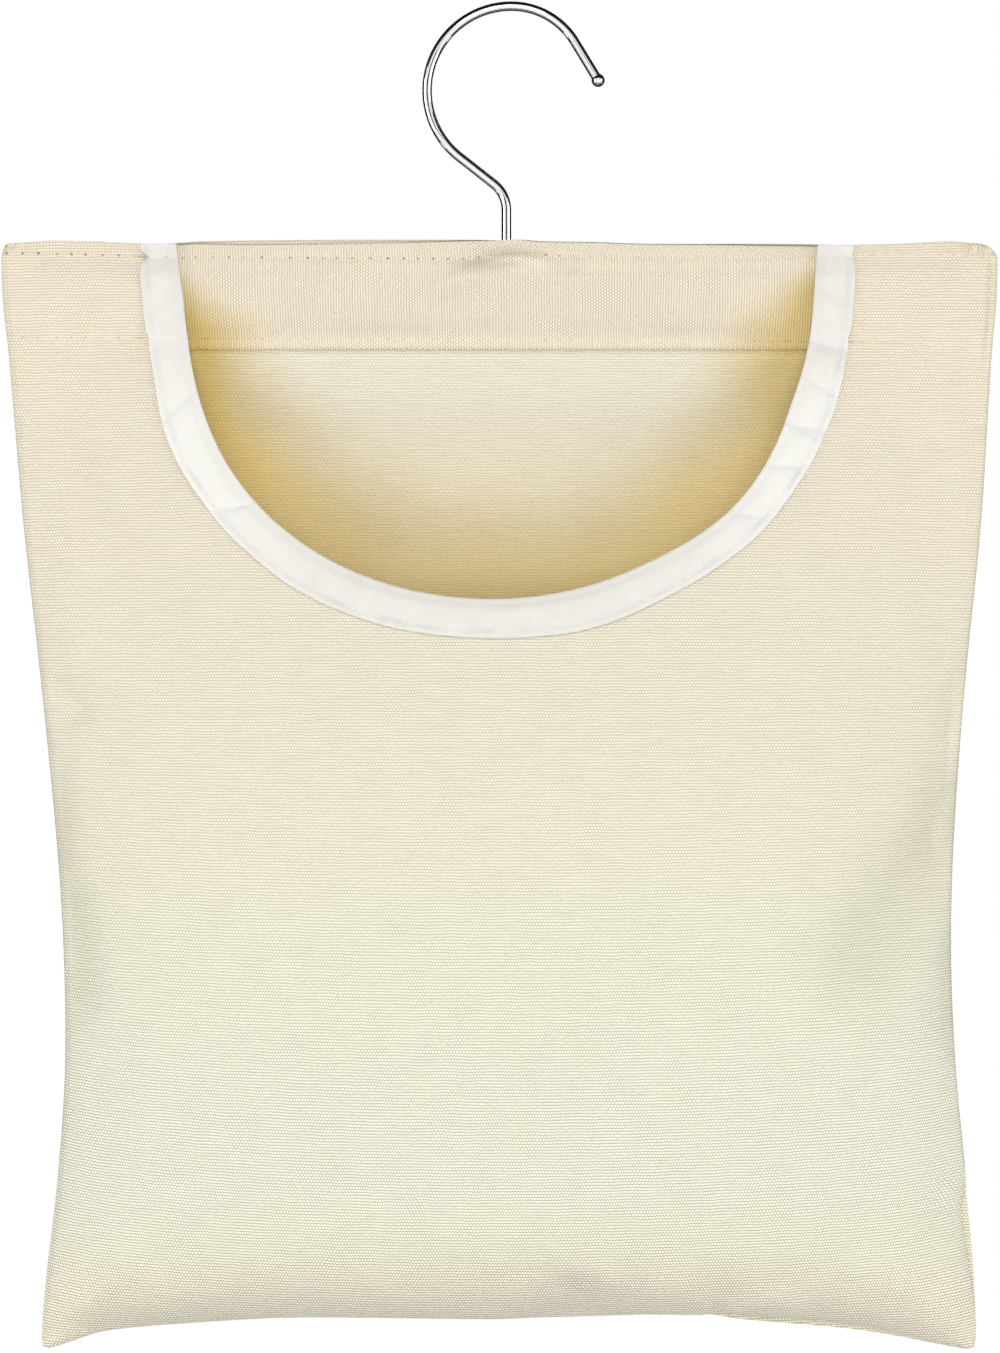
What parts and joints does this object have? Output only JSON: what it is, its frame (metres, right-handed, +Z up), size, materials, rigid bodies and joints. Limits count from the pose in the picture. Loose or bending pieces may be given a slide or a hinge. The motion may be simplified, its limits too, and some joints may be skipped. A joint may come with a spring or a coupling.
{
  "type": "peg bag",
  "caption": "Canvas peg bag with a deep U-shaped mouth bound in white tape, carried by a bar in a sewn sleeve and hung from a wire hook that swivels.",
  "frame": {"origin": "the point under the hook's crown where a clothes line or rail bears", "axes": "+Z up along the shank, -Y towards the front with the mouth, +X to the right as seen from the front"},
  "size_m": [0.33, 0.0795, 0.4471],
  "materials": {
    "bright_wire": "bright plated",
    "plain_steel": "zinc plated",
    "beech": "sanded, unvarnished",
    "canvas": "unbleached cotton canvas",
    "white_tape": "white cotton twill tape",
    "cream_thread": "spun sewing thread",
    "white_thread": "spun sewing thread"
  },
  "bodies": {
    "hook": {"wire_hook": "bright_wire", "hook_washer": "plain_steel"},
    "bag": {"hanger_bar": "beech", "back_panel": "canvas", "front_panel": "canvas", "sleeve_facing": "canvas", "mouth_binding": "white_tape", "upper_sleeve_stitching": "cream_thread", "lower_sleeve_stitching": "cream_thread", "binding_stitching": "white_thread"}
  },
  "joints": [
    {"name": "hook_swivel", "type": "hinge", "parent": "hook", "child": "bag", "pos_m": [-0.0017, 0, -0.077], "axis": [0, 0, 1], "continuous": true}
  ]
}
